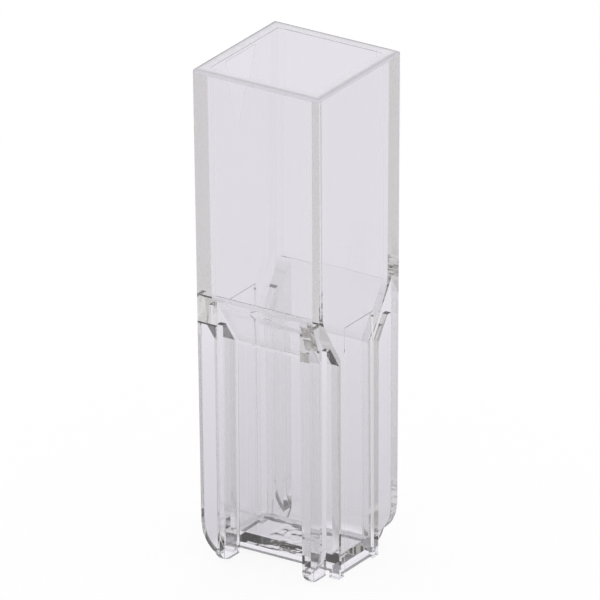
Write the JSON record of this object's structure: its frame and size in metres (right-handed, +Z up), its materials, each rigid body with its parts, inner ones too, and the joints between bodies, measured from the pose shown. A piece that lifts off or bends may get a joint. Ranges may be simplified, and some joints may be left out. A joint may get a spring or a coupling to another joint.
{
  "type": "cuvette",
  "caption": "Clear square semi-micro cuvette: filling tube narrowing to a slim chamber, with corner wings that keep the outside square.",
  "frame": {"origin": "middle of the base, level with the four small feet it stands on", "axes": "+Z up the tube to the open rim; X along the 10 mm light path, through the two windows; Y across the slim chamber"},
  "size_m": [0.0126, 0.0126, 0.045],
  "materials": {
    "clear_polystyrene": "clear, glossy moulded polystyrene with a faint grey haze"
  },
  "bodies": {
    "root": {"cuvette_body": "clear_polystyrene"}
  },
  "joints": []
}
